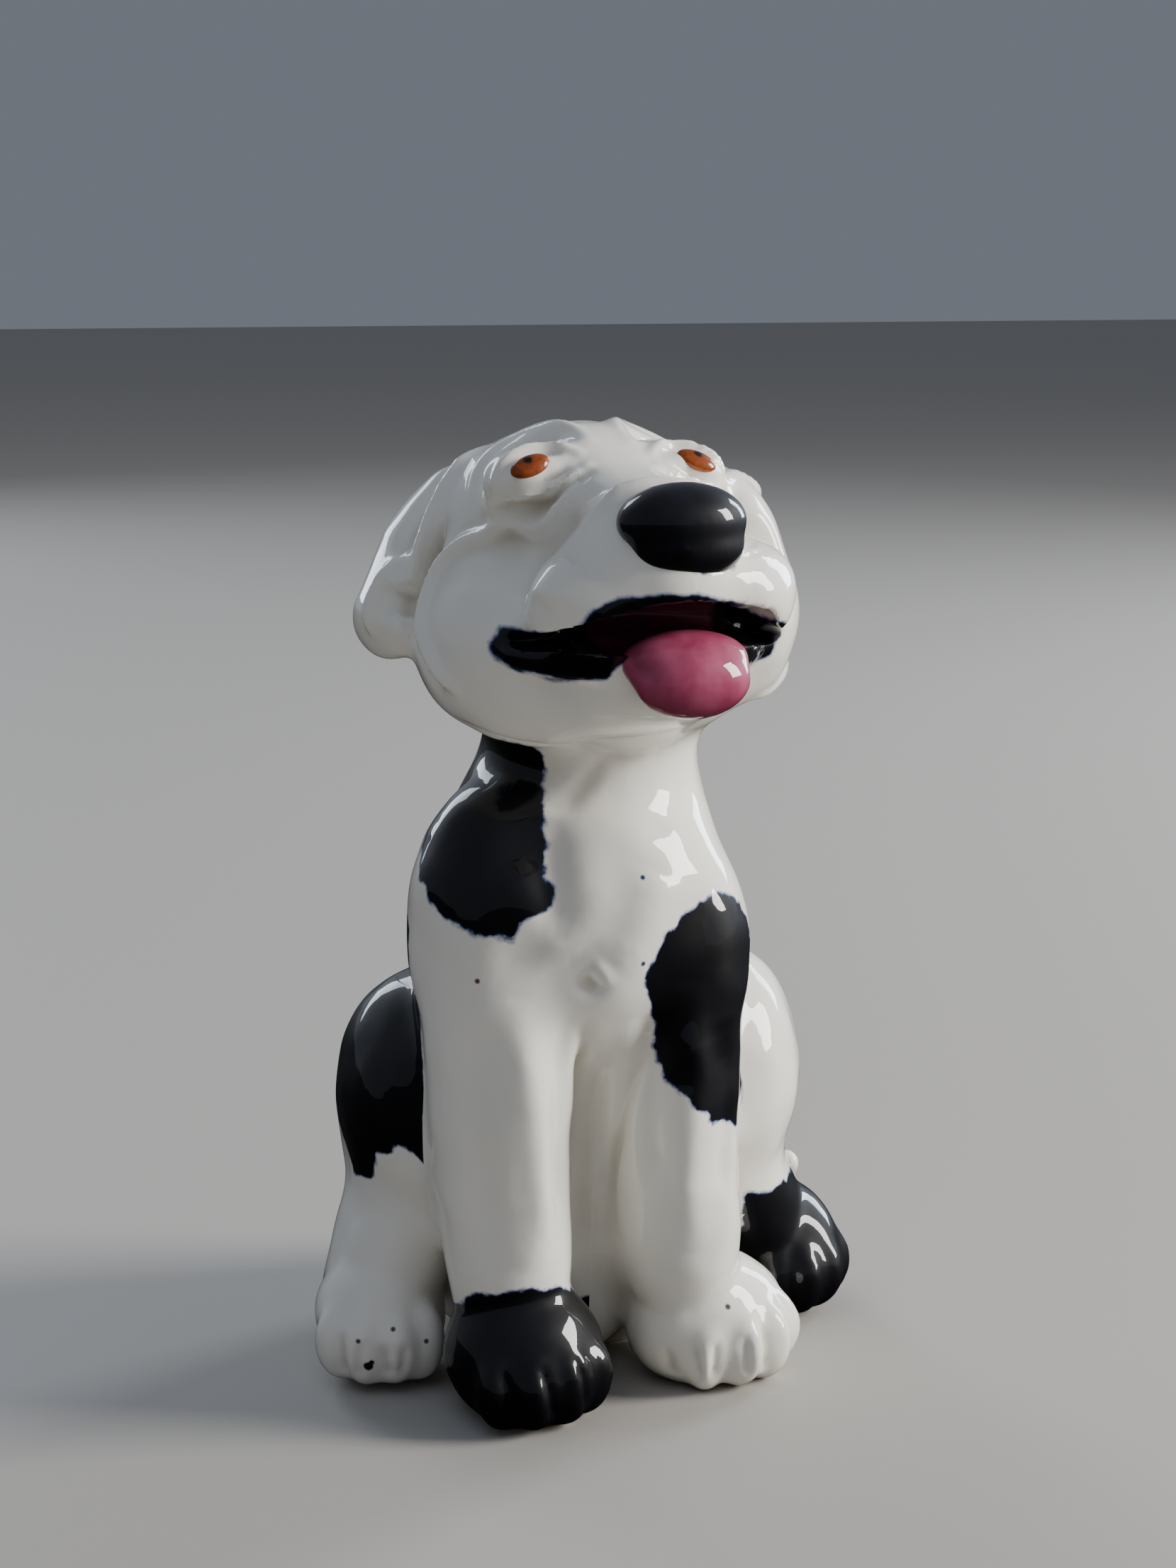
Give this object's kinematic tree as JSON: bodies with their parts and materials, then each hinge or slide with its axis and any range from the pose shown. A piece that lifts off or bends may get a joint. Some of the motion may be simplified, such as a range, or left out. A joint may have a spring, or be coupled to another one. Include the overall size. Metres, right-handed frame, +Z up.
{
  "type": "ceramic dog figurine",
  "caption": "Free-standing glazed ceramic figurine of a sitting puppy with its head turned, mouth open and tongue out, resting on a flat foot.",
  "frame": {"origin": "middle of the underside of the figurine's box, on the surface that it stands on", "axes": "+Z up, and the body faces -Y, so +X is the dog's own left"},
  "size_m": [0.118, 0.125, 0.189],
  "materials": {
    "white_glaze": "gloss",
    "black_glaze": "gloss",
    "rose_glaze": "gloss",
    "amber_glaze": "gloss"
  },
  "bodies": {
    "root": {"torso_casting": "white_glaze", "head_casting": "white_glaze", "lower_jaw": "white_glaze", "ear_right": "white_glaze", "ear_left": "white_glaze", "nose": "black_glaze", "eye_right": "amber_glaze", "eye_left": "amber_glaze", "tongue": "rose_glaze", "foreleg_right": "white_glaze", "foreleg_left": "white_glaze", "haunch_right": "white_glaze", "haunch_left": "white_glaze", "front_paw_right": "black_glaze", "front_paw_left": "white_glaze", "hind_paw_right": "white_glaze", "hind_paw_left": "black_glaze", "tail": "white_glaze"}
  },
  "joints": []
}
